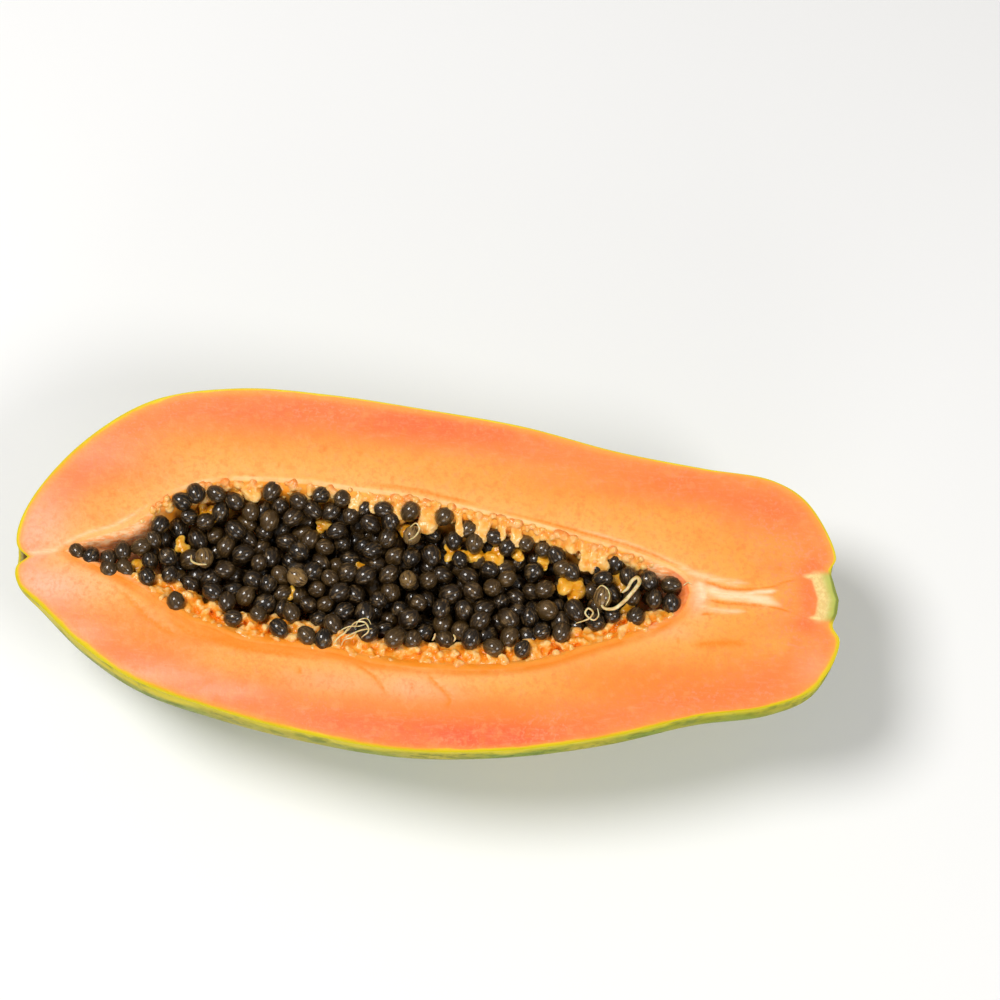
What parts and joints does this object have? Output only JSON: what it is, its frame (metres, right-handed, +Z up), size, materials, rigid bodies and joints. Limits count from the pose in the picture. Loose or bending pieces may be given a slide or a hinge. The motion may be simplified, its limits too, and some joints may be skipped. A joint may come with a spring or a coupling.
{
  "type": "papaya half",
  "caption": "Ripe papaya half, cut lengthwise, lying on its back: thin green-yellow rind, orange flesh and a long chamber full of black seeds.",
  "frame": {"origin": "on the surface the half rests on, below the middle of its length and width", "axes": "+X along the fruit towards its stem end, +Z up out of the cut face, so +Y is the side with the steep chamber wall"},
  "size_m": [0.248, 0.1118, 0.0564],
  "materials": {
    "fruit": "satin",
    "seeds": "gloss"
  },
  "bodies": {
    "root": {"papaya_half": "fruit", "seeds": "seeds"}
  },
  "joints": []
}
